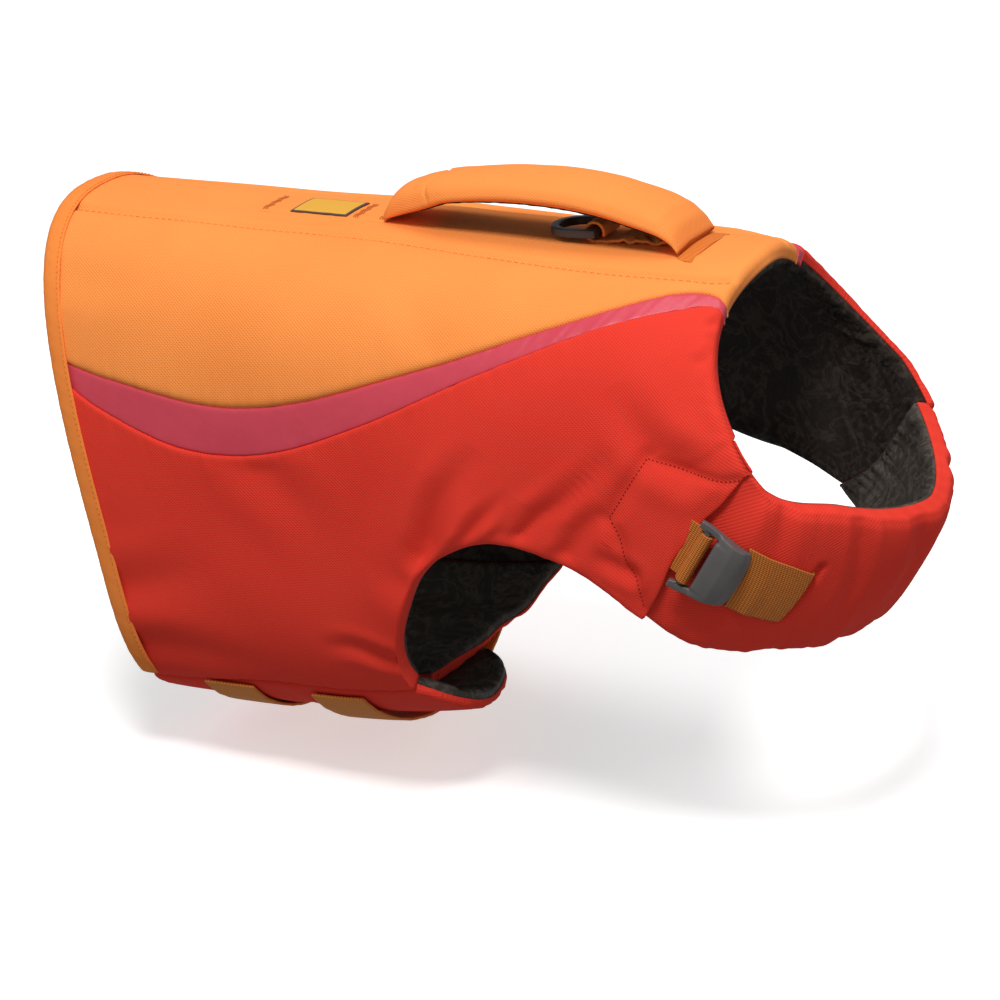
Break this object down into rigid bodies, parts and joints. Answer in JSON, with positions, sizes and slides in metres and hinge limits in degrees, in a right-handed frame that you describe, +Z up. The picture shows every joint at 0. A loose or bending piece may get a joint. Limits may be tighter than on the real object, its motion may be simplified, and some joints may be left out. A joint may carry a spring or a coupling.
{
  "type": "dog life jacket",
  "caption": "Padded buoyancy jacket for a dog, filled out as worn: lift handle and leash ring on the back, adjustable chest band, belly flaps with buckled straps.",
  "frame": {"origin": "on the lining under the spine, below the middle of the handle, where the wearer's back carries the jacket", "axes": "+X towards the head, +Y towards the dog's left, +Z up"},
  "size_m": [0.4506, 0.2218, 0.2811],
  "materials": {
    "orange_cloth": "coated plain-weave polyester, matt with a faint sheen",
    "red_cloth": "coated plain-weave polyester over foam, matt with a faint sheen",
    "pink_trim": "smooth satin-faced trim",
    "dark_lining": "thin brown-black lining cloth, creased",
    "ochre_webbing": "ribbed polyester webbing",
    "woven_patch": "plain woven patch with a dark border",
    "buckle_plastic": "moulded dark grey, satin",
    "ring_plastic": "moulded dark blue-grey, satin"
  },
  "bodies": {
    "jacket": {"back_panel": "orange_cloth", "trim_right": "pink_trim", "trim_left": "pink_trim", "side_right": "red_cloth", "side_left": "red_cloth", "lining_body": "dark_lining", "chest_band": "red_cloth", "lining_band": "dark_lining", "belly_right": "red_cloth", "lining_belly_right": "dark_lining", "belly_left": "red_cloth", "lining_belly_left": "dark_lining", "hem_binding": "orange_cloth", "handle_grip": "orange_cloth", "handle_underside": "dark_lining", "handle_anchor": "orange_cloth", "spine_strap": "orange_cloth", "label": "woven_patch", "ring_tab": "orange_cloth", "neck_buckle": "buckle_plastic", "neck_web_short": "ochre_webbing", "neck_web_long": "ochre_webbing", "belly_strap_rear": "ochre_webbing", "belly_anchor_rear": "ochre_webbing", "belly_buckle_rear": "buckle_plastic", "belly_strap_front": "ochre_webbing", "belly_anchor_front": "ochre_webbing", "belly_buckle_front": "buckle_plastic"},
    "leash_ring": {"leash_ring": "ring_plastic"}
  },
  "joints": [
    {"name": "leash_ring_swing", "type": "hinge", "parent": "jacket", "child": "leash_ring", "pos_m": [0.024, 0, 0.01663], "axis": [0, 1, 0], "range_deg": [0, 20]}
  ]
}
